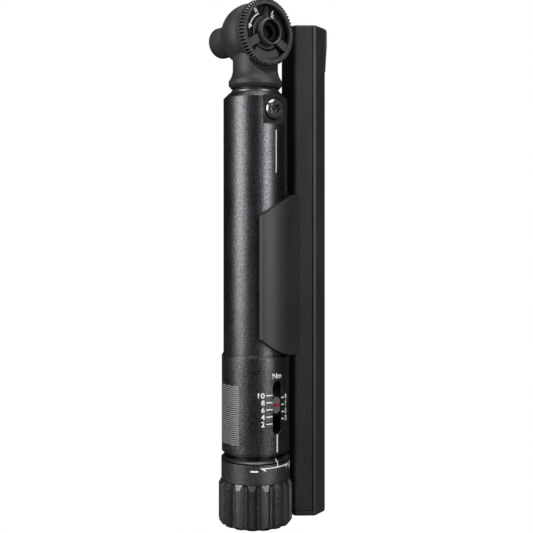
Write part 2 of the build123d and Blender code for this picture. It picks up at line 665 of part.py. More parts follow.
def lever_solid():
    """Shank in the tube's mouth and the lever below the pivot, one piece with the head."""
    shank = rod(SHANK_R, PIVOT_Z - SHANK_LOW, NECK_LOW)
    flat = SHANK_R - SHANK_FLAT
    shank &= block((-SHANK_R, SHANK_R), (-flat, flat), (0, HEAD_Z))
    top_half = LEVER_W / 2
    tip_half = LEVER_TIP_W / 2
    outline = make_face(Polyline(
        (-top_half, PIVOT_Z),
        (-tip_half, LEVER_TIP),
        (tip_half, LEVER_TIP),
        (top_half, PIVOT_Z),
        close=True,
    ))
    bar = Pos(0, LEVER_W / 2, 0) * extrude(Plane.XZ * outline, LEVER_W)
    tip = on_pivot(rod(LEVER_LEN, -LEVER_W, LEVER_W))
    return shank + (bar & tip)


def housing_solid():
    """Ball-shaped ratchet housing with its neck, shank, gear pocket and pawl pocket."""
    body = Pos(0, HEAD_OFFSET, HEAD_Z) * Sphere(HEAD_R)
    body -= block((-FAR, FAR), (-FAR, RIM_FRONT), (0, HEAD_Z + FAR))
    body += on_drive(rod(HEAD_RIM_R, RIM_FRONT, HEAD_OFFSET))
    body += neck_solid()
    body += lever_solid()
    cone = turned(
        (0, RIM_FRONT),
        (RELIEF_R, RIM_FRONT),
        (RELIEF_R + RELIEF_REACH * RELIEF_SLOPE, RIM_FRONT - RELIEF_REACH),
        (0, RIM_FRONT - RELIEF_REACH),
    )
    body -= on_drive(cone)
    body -= on_drive(rod(WHEEL_INNER_R, RIM_FRONT - PAST, HEAD_FRONT))
    body -= on_drive(rod(HEAD_R, COLLAR_FACE, HEAD_R + HEAD_OFFSET + PAST))
    front = HEAD_FRONT - PAST
    body -= on_drive(rod(GEAR_R + AIR, front, POCKET_FLOOR))
    body -= on_drive(rod(DRIVE_R + RUN, HEAD_FRONT, COLLAR_FACE + PAST))
    body -= on_drive(sector(GEAR_R - PAST, PAWL_POCKET_R, DOWN, PAWL_POCKET_SPAN, front, POCKET_FLOOR))
    pin_hole = rod(PAWL_PIN_R + SEAT, POCKET_FLOOR - PAST, POCKET_FLOOR + PAWL_PIN_LEN + SEAT)
    body -= on_drive(Pos(0, PAWL_PIVOT_R, 0) * pin_hole)
    body -= Pos(0, PAWL_BALL_Y, 0) * rod(PAWL_BALL_R + RUN, PAWL_HOLE_LOW, HEAD_Z - PAWL_OUTER_R)
    for x, y in peg_places():
        body -= on_drive(Pos(x, y) * rod(PEG_R + SEAT, front, HEAD_FRONT + PEG_LEN + SEAT))
    body -= on_pivot(rod(BUSH_R + SEAT, -TUBE_R, TUBE_R))
    return body


def head_parts():
    """Housing with its pivot bush, pawl, pawl pin and the ball that snaps the pawl over."""
    flat = SHANK_R - SHANK_FLAT
    bush = on_pivot(ring(BUSH_R, PIVOT_R + RUN, -flat, flat))
    pawl_front = HEAD_FRONT + END_PLAY
    pawl_back = POCKET_FLOOR - END_PLAY
    pawl = sector(PAWL_INNER_R, PAWL_OUTER_R, DOWN, PAWL_SPAN, pawl_front, pawl_back)
    tooth_foot = PAWL_INNER_R + PAWL_TOOTH
    tip = Polyline(
        (tooth_foot, -PAWL_TOOTH_HALF),
        (PAWL_INNER_R - PAWL_TOOTH, 0),
        (tooth_foot, PAWL_TOOTH_HALF),
        close=True,
    )
    tooth = Pos(0, 0, pawl_front) * extrude(make_face(tip), pawl_back - pawl_front)
    for side in (-PAWL_TOOTH_AT, PAWL_TOOTH_AT):
        pawl += Rot(0, 0, DOWN + side) * tooth
    notch_back = TAB_BACK + AIR
    tab_in, tab_out = TAB_R
    notch_half = tab_out * sin(radians(WHEEL_TURN)) + TAB_HALF + 2 * RUN
    pawl -= block((-notch_half, notch_half), (tab_in - AIR, PAWL_POCKET_R), (pawl_front - PAST, notch_back))
    pawl -= Pos(0, PAWL_PIVOT_R, 0) * rod(PAWL_PIN_R + RUN, notch_back - PAST, pawl_back + PAST)
    pin = Pos(0, PAWL_PIVOT_R, 0) * rod(PAWL_PIN_R, notch_back + RUN, POCKET_FLOOR + PAWL_PIN_LEN)
    ball_z = HEAD_Z - PAWL_OUTER_R - RUN - PAWL_BALL_R
    ball = Pos(0, PAWL_BALL_Y, ball_z) * Sphere(PAWL_BALL_R)
    spring_r, wire_r, turns = PAWL_SPRING
    spring = coil(spring_r, wire_r, PAWL_HOLE_LOW, ball_z - PAWL_BALL_R - SEAT, turns)
    return {
        "head_housing": housing_solid(),
        "pivot_bush": bush,
        "pawl": on_drive(pawl),
        "pawl_pin": on_drive(pin),
        "pawl_detent_ball": ball,
        "pawl_detent_spring": Pos(0, PAWL_BALL_Y, 0) * spring,
    }


def drive_parts():
    """Toothed gear, bit socket, its magnet and the screw that holds the direction wheel."""
    gear_low = HEAD_FRONT + END_PLAY
    gear_high = gear_low + GEAR_W
    teeth = wave(GEAR_R, GEAR_R - GEAR_TOOTH, GEAR_TEETH, GEAR_LAND, GEAR_LAND)
    gear = Rot(0, 0, 180 / GEAR_TEETH) * Pos(0, 0, gear_low) * extrude(teeth, GEAR_W)
    gear -= rod(GEAR_BORE_R + SEAT, gear_low, gear_high)
    collar_face = COLLAR_FACE + AIR
    socket = rod(GEAR_BORE_R, gear_low, gear_high)
    socket += rod(DRIVE_R, gear_high, collar_face)
    outer = rod(SOCKET_R, collar_face, SOCKET_END)
    outer = fillet(outer.edges().filter_by(GeomType.CIRCLE).sort_by(Axis.Z)[-1], SOCKET_ROUND)
    socket += outer
    hex_low = SOCKET_END - HEX_DEPTH
    socket -= hexagon(HEX_AF + HEX_PLAY, hex_low, SOCKET_END)
    socket -= rod(MAGNET_R + SEAT, hex_low - MAGNET_H, hex_low)
    thread_end = gear_low + WHEEL_SCREW_THREAD_LEN
    socket -= rod(WHEEL_SCREW_THREAD_R + SEAT, gear_low, thread_end + AIR)
    magnet = rod(MAGNET_R, hex_low - MAGNET_H, hex_low)
    under = HUB_FLANGE_FRONT + AIR - RUN
    screw = rod(HUB_BORE_R - WHEEL_SCREW_PLAY, WHEEL_SCREW_TOP, under)
    screw += rod(WHEEL_SCREW_SHOULDER_R, under, gear_low)
    screw += rod(WHEEL_SCREW_THREAD_R, gear_low, thread_end)
    screw = chamfer(screw.edges().filter_by(GeomType.CIRCLE).sort_by(Axis.Z)[0], WHEEL_SCREW_BREAK)
    hex_end = WHEEL_SCREW_TOP + WHEEL_SCREW_HEX_DEPTH
    screw -= hexagon(WHEEL_SCREW_HEX, WHEEL_SCREW_TOP, hex_end)
    return {
        "ratchet_gear": on_drive(gear),
        "drive_socket": on_drive(socket),
        "bit_magnet": on_drive(magnet),
        "wheel_screw": on_drive(screw),
    }


def pointer_spoke():
    """Roof-shaped spoke that narrows to the rim and points at the direction marks."""
    sections = []
    tip_half, tip_rise = POINTER_TIP
    root = (HUB_R - SPOKE_ROOT, POINTER_W / 2, POINTER_RISE)
    tip = (WHEEL_INNER_R + SPOKE_TIP, tip_half, tip_rise)
    for radius, half, rise in (root, tip):
        roof = Polyline((-half, 0), (half, 0), (0, rise), close=True)
        plane = Plane(origin=(0, -radius, SPOKE_BACK), x_dir=(1, 0, 0), z_dir=(0, 1, 0))
        sections.append(plane * make_face(roof))
    return loft(sections)


def wheel_parts():
    """Knurled direction wheel with three spokes, and the marked plate behind it."""
    knurl = extrude(wave(WHEEL_R, WHEEL_R - KNURL_DEPTH, KNURLS, KNURL_LAND, KNURL_VALLEY), -FAR)
    rim = turned(
        (WHEEL_INNER_R, WHEEL_BACK),
        (WHEEL_R, WHEEL_BACK),
        (WHEEL_R, WHEEL_KNURL_FRONT),
        (WHEEL_R - WHEEL_BEVEL_IN, WHEEL_BEVEL_FRONT),
        (WHEEL_R - WHEEL_FRONT_IN, WHEEL_FRONT),
        (WHEEL_INNER_R, WHEEL_FRONT),
    )
    wheel = rim & knurl
    lip_front = HUB_FLANGE_FRONT + AIR
    hub = ring(HUB_R, HUB_BORE_R, HUB_FRONT, lip_front)
    hub = chamfer(hub.edges().filter_by(GeomType.CIRCLE).sort_by(Axis.Z)[0:2], HUB_BREAK)
    hub += ring(HUB_R + HUB_FLANGE, HUB_BORE_R, HUB_FLANGE_FRONT, PLATE_FRONT - HUB_FLANGE_GAP)
    hub += ring(HUB_R, HUB_LIP_R, lip_front, PLATE_HUB_FLOOR - END_PLAY)
    wheel += hub
    half = SPOKE_W / 2
    spoke_end = WHEEL_INNER_R + SPOKE_TIP
    bar = block((HUB_R - SPOKE_ROOT, spoke_end), (-half, half), (SPOKE_FRONT, SPOKE_BACK))
    for side in (-SPOKE_AT, SPOKE_AT):
        wheel += Rot(0, 0, UP + side) * bar
    wheel += pointer_spoke()
    wheel += sector(WHEEL_INNER_R - PAD_W, spoke_end, DOWN, PAD_HALF, PAD_FRONT, SPOKE_BACK)
    wheel += block((-TAB_HALF, TAB_HALF), TAB_R, (SPOKE_BACK - AIR, TAB_BACK))
    plate = ring(PLATE_R, PLATE_BORE_R, PLATE_FRONT, HEAD_FRONT)
    plate -= rod(HUB_R + RUN, PLATE_FRONT, PLATE_HUB_FLOOR)
    swing = WHEEL_TURN + PLATE_SWING
    plate -= sector(TAB_R[0] - AIR, PLATE_R + PAST, DOWN, swing, PLATE_FRONT - PAST, HEAD_FRONT + PAST)
    for x, y in peg_places():
        plate += Pos(x, y) * rod(PEG_R, HEAD_FRONT, HEAD_FRONT + PEG_LEN)
    return {"direction_wheel": on_drive(wheel), "direction_plate": on_drive(plate)}


# ---- bit case -------------------------------------------------------------------------------
def case_outline(inset):
    """Six-sided section of the case, set in from its outer faces, as a sketch."""
    points = [CASE_IN, CASE_MID, CASE_OUT]
    points += [(across, -half) for across, half in reversed(points)]
    outline = make_face(Polyline(*points, close=True))
    if inset == 0:
        return fillet(outline.vertices(), CASE_CORNER)
    return offset(outline, -inset, kind=Kind.INTERSECTION)


def clip_solid():
    """Two spring arms that embrace the tube, with their root on the case."""
    root_low, root_high = CLIP_ROOT
    free_low, free_high = CLIP_FREE
    band = sector(CLIP_BORE_R, CLIP_R, 0, CLIP_HALF_ARC, root_low, root_high)
    free_edges = band.edges().filter_by(Axis.Z).sort_by(Axis.X)[:4]
    band = chamfer(free_edges.sort_by(lambda edge: abs(edge.center().Y))[2:], CLIP_EDGE_CHAMFER)
    near = TUBE_R - CLIP_ROOT_NEAR
    far = CLIP_R + CLIP_ROOT_DEEP
    near_half = sqrt(CLIP_R ** 2 - near ** 2)
    slope = (CASE_MID_HALF - CASE_IN_HALF) / CASE_MID_DEEP
    far_half = CASE_IN_HALF + CLIP_ROOT_DEEP * slope
    web = make_face(Polyline(
        (near, near_half),
        (far, far_half),
        (far, -far_half),
        (near, -near_half),
        close=True,
    ))
    root = Pos(0, 0, root_low) * extrude(web, root_high - root_low)
    root -= rod(CLIP_BORE_R, 0, CASE_H)
    free_at = CLIP_R * cos(radians(CLIP_HALF_ARC))
    middle = (near + free_at) / 2
    low_across, low_drop = CLIP_LOW_BOW
    top_across, top_rise = CLIP_TOP_BOW
    side = make_face([
        ThreePointArc((free_at, free_low), (middle + low_across, free_low - low_drop), (near, root_low)),
        Line((near, root_low), (far, root_low)),
        Line((far, root_low), (far, root_high)),
        Line((far, root_high), (near, root_high)),
        ThreePointArc((near, root_high), (middle + top_across, free_high + top_rise), (free_at, free_high)),
        Line((free_at, free_high), (free_at, free_low)),
    ])
    clip = (band + root) & slab(side, CLIP_R)
    return clip - rod(SLEEVE_R + AIR, root_low - PAST, SLEEVE_TOP + AIR)


def case_walls():
    """Case body with its clip, hinged cover and hinge pin."""
    solid = extrude(case_outline(0), CASE_H)
    flats = solid.faces().sort_by(Axis.Z)
    solid = fillet(flats[0].edges() + flats[-1].edges(), CASE_END_ROUND)
    inside = case_outline(CASE_WALL)
    cavity = Pos(0, 0, CASE_FLOOR + CASE_WALL) * extrude(inside, CASE_H - CASE_FLOOR - 2 * CASE_WALL)
    seam_low = SEAM_AT - SEAM_GAP / 2
    seam_high = SEAM_AT + SEAM_GAP / 2
    inner_half = block((0, seam_low), (-FAR, FAR), (CASE_FLOOR, CASE_H + PAST))
    outer_half = block((seam_high, FAR), (-FAR, FAR), (-PAST, CASE_H + PAST))
    foot = block((0, FAR), (-FAR, FAR), (-PAST, COVER_FOOT))
    to_hinge = Pos(HINGE_AT, 0, HINGE_Z) * Rot(90, 0, 0)
    knuckle = to_hinge * rod(HINGE_KNUCKLE_R, -HINGE_KNUCKLE_HALF, HINGE_KNUCKLE_HALF)
    knuckle += block(
        (HINGE_AT - HINGE_KNUCKLE_R, HINGE_AT + HINGE_KNUCKLE_R),
        (-HINGE_KNUCKLE_HALF, HINGE_KNUCKLE_HALF),
        (HINGE_Z, CASE_FLOOR + CASE_WALL),
    )
    room_half = HINGE_KNUCKLE_HALF + HINGE_GAP
    foot_heights = (-PAST, COVER_FOOT + PAST)
    knuckle_room = block(
        (0, HINGE_AT + HINGE_KNUCKLE_R + HINGE_GAP + AIR),
        (-room_half, room_half),
        foot_heights,
    )
    end_round = block((0, HINGE_AT), (-FAR, FAR), foot_heights) - to_hinge * rod(HINGE_END_R, -FAR, FAR)
    pin_seat = to_hinge * rod(HINGE_PIN_R + SEAT, -HINGE_KNUCKLE_HALF, HINGE_KNUCKLE_HALF)
    pin_end = HINGE_PIN_HALF + HINGE_PIN_END
    pin_run = to_hinge * rod(HINGE_PIN_R + RUN, -pin_end, pin_end)
    base = (solid & inner_half) - cavity
    base += knuckle
    base -= pin_seat
    base += clip_solid()
    base -= cavity & block((CLIP_R + CASE_WALL, FAR), (-FAR, FAR), (0, CASE_H))
    cover_room = Pos(0, 0, COVER_FOOT) * extrude(inside, CASE_H - COVER_FOOT - CASE_WALL)
    cover = (solid & (outer_half + foot)) - cover_room
    cover += slab(lip_outline(), CASE_OUT_HALF - LIP_SIDE)
    cover -= knuckle_room
    cover -= end_round
    cover -= pin_run
    pin = to_hinge * rod(HINGE_PIN_R, -HINGE_PIN_HALF, HINGE_PIN_HALF)
    return {"case_base": base, "case_cover": cover, "cover_hinge_pin": pin}


def lip_outline():
    """Side outline of the thumb lip, a full height at the top and a long taper below."""
    high = CASE_H - LIP_BELOW_TOP
    low = high - LIP_LEN
    face = CLIP_R + CASE_DEEP
    inside = face - CASE_WALL / 2
    break_in, break_down = LIP_BREAK
    return make_face(Polyline(
        (inside, high),
        (face + LIP_RISE - break_in, high),
        (face + LIP_RISE, high - break_down),
        (face + LIP_RISE, low),
        (face, low - LIP_TAPER),
        (inside, low - LIP_TAPER),
        close=True,
    ))


def bit_shank():
    """Hexagonal shank on Z with its corners broken at both ends."""
    reach = HEX_AF / 2 / cos(radians(30))
    foot_in, foot_up = BIT_BREAK
    shoulder_r, shoulder_h = BIT_SHOULDER
    cone = turned(
        (0, 0),
        (reach - foot_in, 0),
        (reach, foot_up),
        (reach, BIT_SHANK - shoulder_h),
        (shoulder_r, BIT_SHANK),
        (0, BIT_SHANK),
    )
    return hexagon(HEX_AF, 0, BIT_SHANK) & cone


def star_blade():
    """Six-lobed point of the star bit, as a sketch."""
    blade = Circle(STAR_BIT_R * STAR_CORE)
    for index in range(6):
        blade += Pos(*polar(STAR_BIT_R * STAR_LOBE_AT, index * 60)) * Circle(STAR_BIT_R * STAR_LOBE)
    return blade


def case_parts():
    """Case, tray and the bits in the tray's seats."""
    parts = case_walls()
    tray_low = CASE_FLOOR + CASE_WALL + BIT_PLAY
    tray_high = CASE_H - CASE_WALL - AIR
    tray = Pos(0, 0, tray_low) * extrude(case_outline(CASE_WALL + BIT_PLAY), tray_high - tray_low)
    tray &= block((0, TRAY_FRONT), (-FAR, FAR), (0, CASE_H))
    points = {"bit_hex_" + name: hexagon(size, BIT_SHANK, BIT_LEN) for name, size in BIT_SIZES.items()}
    points["bit_star"] = Pos(0, 0, BIT_SHANK) * extrude(star_blade(), BIT_LEN - BIT_SHANK)
    for index, (name, point) in enumerate(points.items()):
        place = Pos(BIT_AT, 0, BIT_FOOT + index * BIT_PITCH) * Rot(0, 0, BIT_TURN)
        tray -= place * hexagon(HEX_AF + 2 * BIT_PLAY, -BIT_PLAY, BIT_LEN + BIT_PLAY)
        parts[name] = place * (bit_shank() + point)
    parts["bit_tray"] = tray
    return {name: Rot(0, 0, CASE_TURN) * shape for name, shape in parts.items()}


def main():
    """Build every piece and write one STEP file for each."""
    os.makedirs("parts", exist_ok=True)
    handle = [knob_parts, handle_parts, pivot_parts, spring_parts]
    head = [head_parts, drive_parts, wheel_parts]
    for group in handle + head + [case_parts]:
        for name, shape in group().items():
            export_step(shape, f"parts/{name}.step")


main()
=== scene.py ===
"""Looks of a ratcheting click torque wrench with a clip-on bit case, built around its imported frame.

Sizes in the classes are millimetres. MM turns them into the frame's metres.
"""

import logging
from collections.abc import Callable, Iterable
from dataclasses import dataclass, field
from enum import Enum
from functools import cache
from math import cos, pi, radians, sin

import bmesh
import bpy
from mathutils import Matrix, Vector


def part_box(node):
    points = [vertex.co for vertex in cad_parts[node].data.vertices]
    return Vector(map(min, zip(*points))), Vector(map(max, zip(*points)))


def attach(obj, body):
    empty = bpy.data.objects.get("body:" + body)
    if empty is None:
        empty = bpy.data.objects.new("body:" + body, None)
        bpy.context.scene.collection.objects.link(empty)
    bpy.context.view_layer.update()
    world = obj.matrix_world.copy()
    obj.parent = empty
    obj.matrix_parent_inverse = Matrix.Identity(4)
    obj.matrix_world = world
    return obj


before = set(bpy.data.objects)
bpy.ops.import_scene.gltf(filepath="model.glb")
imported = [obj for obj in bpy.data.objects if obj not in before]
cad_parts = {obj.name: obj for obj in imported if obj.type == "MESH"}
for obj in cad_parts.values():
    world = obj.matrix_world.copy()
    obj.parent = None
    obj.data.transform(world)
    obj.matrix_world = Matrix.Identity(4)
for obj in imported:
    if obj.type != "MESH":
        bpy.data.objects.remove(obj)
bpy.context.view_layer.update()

LOG = logging.getLogger("torque_wrench")
MM = 0.001
UP_FROM_FLAT = Matrix.Rotation(pi / 2, 3, "X")     # turns a drawing on X and Y to stand on X and Z

Socket = bpy.types.NodeSocket
Tree = bpy.types.ShaderNodeTree


class Side(Enum):
    """The two sides of a mark's middle line, by their sign along X."""

    LEFT = -1
    RIGHT = 1


class TextEnd(Enum):
    """Which end of a line of text stands at its place."""

    LEFT = "LEFT"
    MIDDLE = "CENTER"
    RIGHT = "RIGHT"


# ---- colours and nodes ----------------------------------------------------------------------
def linear(hex_colour: str) -> tuple[float, float, float, float]:
    """Turn an sRGB hex colour into the linear colour that a shader takes.

    Args:
        hex_colour: Six hex digits after a hash sign.

    Returns:
        Red, green, blue and an alpha of 1.
    """
    shares = [int(hex_colour[at:at + 2], 16) / 255 for at in (1, 3, 5)]
    red, green, blue = (s / 12.92 if s <= 0.04045 else ((s + 0.055) / 1.055) ** 2.4 for s in shares)
    return (red, green, blue, 1.0)


def add_node(tree: Tree, kind: str, inputs: dict | None = None, **settings: object) -> bpy.types.Node:
    """Add one node, set its own settings, and set or link its inputs.

    Args:
        tree: The node tree that it goes into.
        kind: The node's type name.
        inputs: A value or an output socket for each input, by name or number.
        **settings: The node's own properties.

    Returns:
        The new node.
    """
    made = tree.nodes.new(kind)
    for name, value in settings.items():
        setattr(made, name, value)
    for name, value in (inputs or {}).items():
        if isinstance(value, Socket):
            tree.links.new(value, made.inputs[name])
        else:
            made.inputs[name].default_value = value
    return made


def grain(tree: Tree, size_mm: float, detail: float = 2.0, roughness: float = 0.5) -> Socket:
    """Add noise whose spots have a real size, on the piece's own coordinates.

    Args:
        tree: The node tree that it goes into.
        size_mm: The size of one spot.
        detail: Octaves of finer noise.
        roughness: The share of each finer octave.

    Returns:
        The noise's value socket, from 0 to 1.
    """
    place = add_node(tree, "ShaderNodeTexCoord")
    centred = add_node(tree, "ShaderNodeMapping", {"Vector": place.outputs["Object"]})
    noise = add_node(
        tree,
        "ShaderNodeTexNoise",
        {
            "Vector": centred.outputs["Vector"],
            "Scale": 1 / (size_mm * MM),
            "Detail": detail,
            "Roughness": roughness,
        },
    )
    return noise.outputs["Fac"]


def spread(tree: Tree, value: Socket, source: tuple[float, float], target: tuple[float, float]) -> Socket:
    """Add a node that stretches a range of a value to another range.

    Args:
        tree: The node tree that it goes into.
        value: The value to stretch.
        source: The range that is taken.
        target: The range that it becomes.

    Returns:
        The stretched value's socket.
    """
    limits = {"From Min": source[0], "From Max": source[1], "To Min": target[0], "To Max": target[1]}
    return add_node(tree, "ShaderNodeMapRange", {"Value": value, **limits}).outputs["Result"]


# ---- finishes -------------------------------------------------------------------------------
@dataclass(frozen=True)
class Finish:
    """A surface: its colour and how it varies, its gloss, and the grain that its making left.

    The colour wanders between two tones over patches and over single grains. The grain also
    lifts the surface and varies the gloss, and edges are rounded by a small radius.
    """

    name: str
    colour: str
    tone: str                  # the other colour that the patches and grains reach
    roughness: float
    metallic: float = 0.0
    specular: float = 0.5
    coat: float = 0.0
    coat_roughness: float = 0.2
    grain_mm: float = 0.4
    grain_depth_mm: float = 0.01
    grain_tone: float = 0.35   # how much of the tone the grains take
    patch_mm: float = 9.0
    patch_tone: float = 0.25
    gloss_swing: float = 0.06
    edge_mm: float = 0.15
    groove_mm: float = 0.0     # how near a facing wall must be for painted shade to darken the colour

    def build(self) -> bpy.types.Material:
        """Make the material, once.

        Returns:
            The new material, or the one of this name that is made already.
        """
        made = bpy.data.materials.get(self.name)
        if made is not None:
            return made
        made = bpy.data.materials.new(self.name)
        made.use_nodes = True
        tree = made.node_tree
        tree.nodes.clear()
        fine = grain(tree, self.grain_mm)
        patches = grain(tree, self.patch_mm, detail=3.0)
        shader = add_node(tree, "ShaderNodeBsdfPrincipled", {
            "Base Color": self.coloured(tree, fine, patches),
            "Roughness": self.glossed(tree, fine, patches),
            "Metallic": self.metallic,
            "Specular IOR Level": self.specular,
            "Coat Weight": self.coat,
            "Coat Roughness": self.coat_roughness,
            "Normal": self.lifted(tree, fine),
        })
        add_node(tree, "ShaderNodeOutputMaterial", {"Surface": shader.outputs["BSDF"]})
        return made

    def coloured(self, tree: Tree, fine: Socket, patches: Socket) -> Socket:
        """Mix the two tones by the grains and the patches, and paint shade into the grooves.

        Args:
            tree: The node tree that it goes into.
            fine: The grains' value.
            patches: The patches' value.

        Returns:
            The colour's socket.
        """
        by_patch = spread(tree, patches, (0.35, 0.65), (0.0, self.patch_tone))
        by_grain = spread(tree, fine, (0.4, 0.7), (0.0, self.grain_tone))
        share = add_node(tree, "ShaderNodeMath", {0: by_patch, 1: by_grain}, operation="ADD", use_clamp=True)
        tones = {0: share.outputs["Value"], 6: linear(self.colour), 7: linear(self.tone)}
        mixed = add_node(tree, "ShaderNodeMix", tones, data_type="RGBA").outputs[2]
        if not self.groove_mm:
            return mixed
        # Painted shade: the colour goes towards near black where walls close in, standing for the shade in
        # grooves.
        opening = add_node(tree, "ShaderNodeAmbientOcclusion", {"Distance": self.groove_mm * MM}, samples=8)
        unshaded_share = spread(tree, opening.outputs["AO"], (0.62, 0.98), (0.0, 1.0))
        painted_shade_mix = {0: unshaded_share, 6: linear("#050505"), 7: mixed}
        return add_node(tree, "ShaderNodeMix", painted_shade_mix, data_type="RGBA").outputs[2]

    def glossed(self, tree: Tree, fine: Socket, patches: Socket) -> Socket:
        """Let the roughness swing with the grains and a little with the patches.

        Args:
            tree: The node tree that it goes into.
            fine: The grains' value.
            patches: The patches' value.

        Returns:
            The roughness's socket.
        """
        by_grain = spread(tree, fine, (0.3, 0.7), (self.roughness - self.gloss_swing, self.roughness))
        by_patch = spread(tree, patches, (0.3, 0.7), (0.0, self.gloss_swing))
        total = add_node(tree, "ShaderNodeMath", {0: by_grain, 1: by_patch}, operation="ADD", use_clamp=True)
        return total.outputs["Value"]

    def lifted(self, tree: Tree, fine: Socket) -> Socket:
        """Round the edges and lift the grains.

        Args:
            tree: The node tree that it goes into.
            fine: The grains' value.

        Returns:
            The normal's socket.
        """
        edges = add_node(tree, "ShaderNodeBevel", {"Radius": self.edge_mm * MM}, samples=4)
        bump = add_node(tree, "ShaderNodeBump", {
            "Height": fine,
            "Distance": self.grain_depth_mm * MM,
            "Strength": 1.0,
            "Normal": edges.outputs["Normal"],
        })
        return bump.outputs["Normal"]


# Aluminium, bead-blasted and dyed black: broad soft bands of light, broken into sparkling grains.
# The real grains are about 0.1 mm, and these are coarser so that they show.
ANODISED = Finish(
    "black_anodised_aluminium", "#353638", "#77787a", 0.34, metallic=1.0, grain_mm=0.36,
    grain_depth_mm=0.06, grain_tone=0.8, patch_mm=14.0, patch_tone=0.1, gloss_swing=0.06, edge_mm=0.22,
)
# The same dye on the machined knob: a wide sheen on the crests, and painted shade that darkens the grooves.
MACHINED_ANODISED = Finish(
    "black_anodised_flutes", "#4d4e50", "#88898b", 0.40, metallic=1.0, grain_mm=0.36,
    grain_depth_mm=0.04, grain_tone=0.7, patch_mm=10.0, patch_tone=0.1, gloss_swing=0.05, edge_mm=0.1,
    groove_mm=1.1,
)
# Steel casting under black satin paint: an even dark grey with a soft, wide sheen.
SATIN_HEAD = Finish(
    "satin_black_steel_casting", "#212122", "#3a3a3b", 0.54, specular=0.5, grain_mm=0.45,
    grain_depth_mm=0.03, grain_tone=0.5, patch_mm=6.0, patch_tone=0.35, edge_mm=0.25,
)
# Glass-filled nylon for the direction wheel: dark grey, slightly shiny, with painted shade between the teeth.
WHEEL_NYLON = Finish(
    "glass_filled_nylon", "#3c3c3d", "#5a5a5b", 0.36, specular=0.8, grain_mm=0.3,
    grain_depth_mm=0.006, grain_tone=0.3, patch_mm=3.0, patch_tone=0.2, edge_mm=0.04, groove_mm=1.0,
)
# Stamped steel plate under black oxide: very dark, with a dull sheen.
OXIDE_PLATE = Finish(
    "black_oxide_plate", "#0a0a0b", "#161617", 0.34, metallic=0.3, grain_mm=0.25,
    grain_depth_mm=0.004, edge_mm=0.08,
)
# Black-oxide socket screw: dark and a little oily.
OXIDE_SCREW = Finish(
    "black_oxide_screw", "#2a2a2b", "#454546", 0.34, metallic=0.9, grain_mm=0.2,
    grain_depth_mm=0.003, patch_mm=2.0, edge_mm=0.12,
)
# Moulded ABS with a spark-eroded texture: matte black, its edges catching a line of light.
CASE_ABS = Finish(
    "textured_black_abs", "#1b1b1c", "#353536", 0.5, specular=0.55, grain_mm=0.42,
    grain_depth_mm=0.07, grain_tone=0.6, patch_mm=18.0, patch_tone=0.2, edge_mm=0.3,
)
# Smooth moulded polypropylene of the tray: dark grey, faintly waxy.
TRAY_PP = Finish(
    "moulded_polypropylene", "#2f3032", "#3a3b3d", 0.45, grain_mm=0.6, grain_depth_mm=0.008, edge_mm=0.15,
)
# Nickel-plated bolt steel: bright, with the fine swirl of a turned head.
BOLT_STEEL = Finish(
    "nickel_plated_bolt", "#8c8c8b", "#a5a5a3", 0.27, metallic=1.0, grain_mm=0.5,
    grain_depth_mm=0.001, patch_mm=2.0, edge_mm=0.1,
)
# Ground tool steel of the bits and the gear: grey with a soft shine.
TOOL_STEEL = Finish(
    "ground_tool_steel", "#8b8b8c", "#a4a4a4", 0.32, metallic=1.0, grain_mm=0.15,
    grain_depth_mm=0.002, patch_mm=3.0, edge_mm=0.1,
)
# Oil-tempered spring wire: blue-grey and smooth.
SPRING_STEEL = Finish(
    "oil_tempered_wire", "#5d6066", "#75787d", 0.3, metallic=1.0, grain_mm=0.3,
    grain_depth_mm=0.002, edge_mm=0.05,
)
# Sintered bronze of the bush and bearing: warm and slightly porous.
BRONZE = Finish(
    "sintered_bronze", "#a07a45", "#8a6638", 0.42, metallic=1.0, grain_mm=0.2,
    grain_depth_mm=0.01, edge_mm=0.1,
)
# Nickel-plated magnet: the brightest metal, a shade yellow.
NICKEL = Finish(
    "nickel_plated_magnet", "#c4c1b8", "#b3b0a8", 0.2, metallic=1.0, grain_mm=0.3,
    grain_depth_mm=0.001, edge_mm=0.1,
)
# Nitrile rubber ring, wet with grease: black with one soft, bright gloss.
NITRILE = Finish(
    "greased_nitrile_rubber", "#0a0a0b", "#131314", 0.42, specular=1.0, coat=1.0, coat_roughness=0.36,
    grain_mm=0.8, grain_depth_mm=0.004, patch_mm=4.0, gloss_swing=0.04, edge_mm=0.3,
)
# Acetal pill of the indicator: mid grey and slightly cloudy.
ACETAL = Finish(
    "moulded_acetal", "#595b5c", "#707273", 0.4, grain_mm=0.5, grain_depth_mm=0.004,
    patch_mm=1.5, edge_mm=0.15,
)
# Screen-printed white ink: flat white with a dry surface, thin in places.
WHITE_INK = Finish(
    "screen_printed_white_ink", "#f6f6f4", "#dededc", 0.5, specular=0.3, grain_mm=0.15,
    grain_depth_mm=0.002, grain_tone=0.3, patch_mm=1.2, edge_mm=0.02,
)
# Laser marking on the dyed aluminium: pale grey, dull, and broken by the blasted grains.
LASER_MARK = Finish(
    "laser_marked_aluminium", "#a2a3a4", "#77787a", 0.6, metallic=0.3, grain_mm=0.3,
    grain_depth_mm=0.02, grain_tone=0.6, patch_mm=2.5, edge_mm=0.02,
)
# Pad-printed red ink of the setting line.
RED_INK = Finish(
    "pad_printed_red_ink", "#971027", "#7a0c20", 0.45, grain_mm=0.15, grain_depth_mm=0.002,
    patch_mm=1.0, edge_mm=0.02,
)


def dress(finish: Finish, nodes: Iterable[str]) -> None:
    """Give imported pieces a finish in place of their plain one.

    Args:
        finish: The finish to give.
        nodes: The names of the pieces.
    """
    for name in nodes:
        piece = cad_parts[name]
        piece.data.materials.clear()
        piece.data.materials.append(finish.build())
        LOG.info("%s: %s", name, finish.name)


